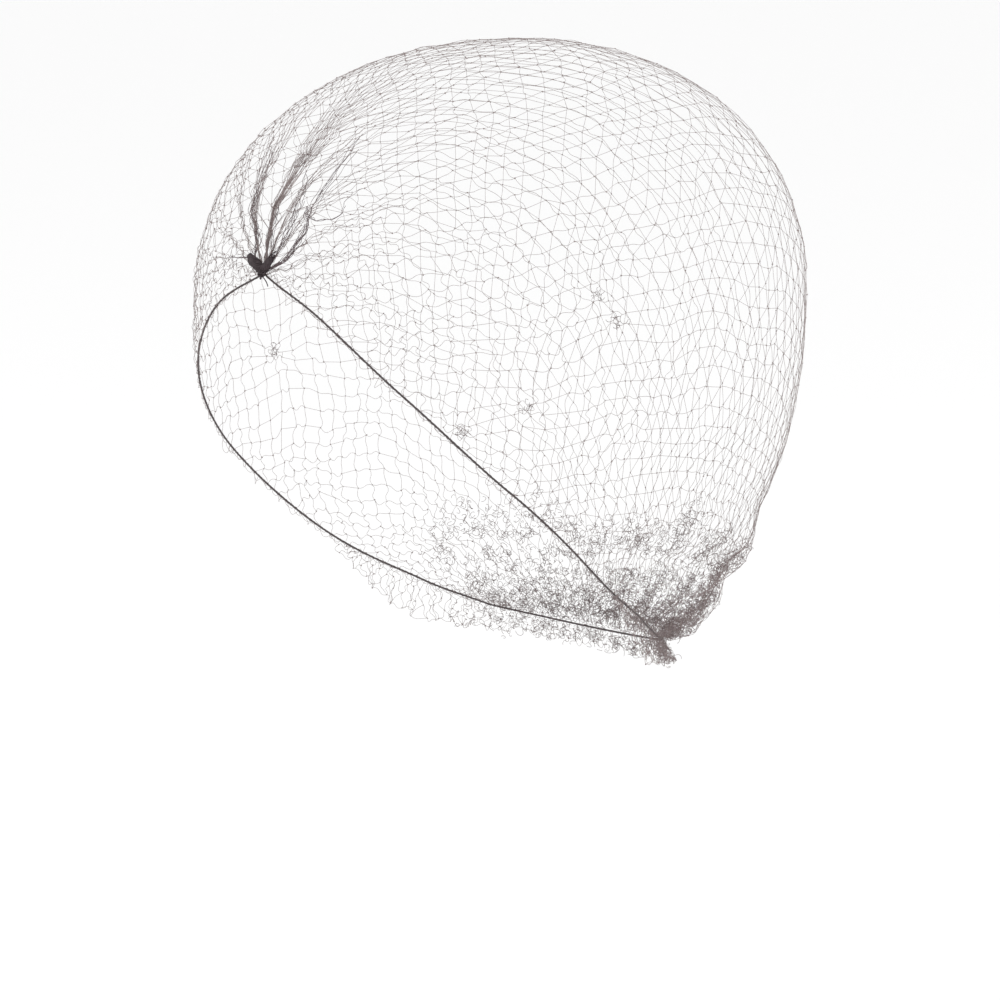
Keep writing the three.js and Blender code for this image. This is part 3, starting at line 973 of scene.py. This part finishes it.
# Curls of the free margin: net thread darkened with painted shade
makePiece("frillCurls", marginCurls, "ruffleThreadPaintedShade", "nape_frill")

# Floor, world and lights, in metres and watts
studio = {
    "floorHeight": -0.28,
    "floorReach": 30,
    "floorTone": 0.96,
    "floorRoughness": 0.9,
    "worldStrength": 1.0,
    "lights": {
        "keyLight": ((0.2, -1.6, 1.5), 6),
        "fillLight": ((1.7, 0.2, 0.9), 3),
    },
    "lightSize": 1.2,
    "lightAim": (0, 0, -0.09),
}


# Square floor: four corners at one height
def addFloor():
    reach = studio["floorReach"]
    corners = [(x * reach, y * reach, studio["floorHeight"]) for x, y in ((-1, -1), (1, -1), (1, 1), (-1, 1))]
    mesh = bpy.data.meshes.new("floor")
    mesh.from_pydata(corners, [], [(0, 1, 2, 3)])
    look = bpy.data.materials.new("floor")
    look.use_nodes = True
    shader = look.node_tree.nodes["Principled BSDF"]
    shader.inputs["Base Color"].default_value = (*[studio["floorTone"]] * 3, 1)
    shader.inputs["Roughness"].default_value = studio["floorRoughness"]
    mesh.materials.append(look)
    floor = bpy.data.objects.new("floor", mesh)
    bpy.context.collection.objects.link(floor)


# Square soft light that faces the net: its -Z axis along the line from its place to the aim
def addLight(name, place, power):
    light = bpy.data.lights.new(name, "AREA")
    light.energy = power
    light.size = studio["lightSize"]
    lamp = bpy.data.objects.new(name, light)
    lamp.location = place
    toward = Vector(studio["lightAim"]) - Vector(place)
    lamp.rotation_euler = toward.to_track_quat("-Z", "Y").to_euler()
    bpy.context.collection.objects.link(lamp)


addFloor()
world = bpy.data.worlds.new("studio")
world.use_nodes = True
world.node_tree.nodes["Background"].inputs["Color"].default_value = (1, 1, 1, 1)
world.node_tree.nodes["Background"].inputs["Strength"].default_value = studio["worldStrength"]
bpy.context.scene.world = world
bpy.context.scene.view_settings.view_transform = "Standard"
for name, (place, power) in studio["lights"].items():
    addLight(name, place, power)
print("stage: floor and lights")

# View: degrees round and up, metres from the form's centre, focal length and the centre's place in pixels
view = {
    "azimuth": 44.4,
    "elevation": 6.9,
    "distance": 1.271,
    "focal": 4224,
    "seen": (513.4, 297.4),
    "frame": 1000,
    "sensor": 36,
}


# Camera on a sphere round the form's centre, aimed past it so that the centre is seen at its pixel
def addCamera():
    azimuth = math.radians(view["azimuth"])
    elevation = math.radians(view["elevation"])
    level = math.cos(elevation)
    back = Vector((math.sin(azimuth) * level, -math.cos(azimuth) * level, math.sin(elevation)))
    right = Vector((math.cos(azimuth), math.sin(azimuth), 0))
    up = back.cross(right)
    centre = Vector((0, 0, -millimetre * form["rise"]))
    perPixel = view["distance"] / view["focal"]
    middle = view["frame"] / 2
    aim = centre - right * (view["seen"][0] - middle) * perPixel - up * (middle - view["seen"][1]) * perPixel
    lens = bpy.data.cameras.new("camera")
    lens.sensor_width = view["sensor"]
    lens.lens = view["focal"] / view["frame"] * view["sensor"]
    camera = bpy.data.objects.new("camera", lens)
    camera.location = centre + back * view["distance"]
    camera.rotation_euler = (aim - camera.location).to_track_quat("-Z", "Y").to_euler()
    bpy.context.collection.objects.link(camera)
    bpy.context.scene.camera = camera


addCamera()
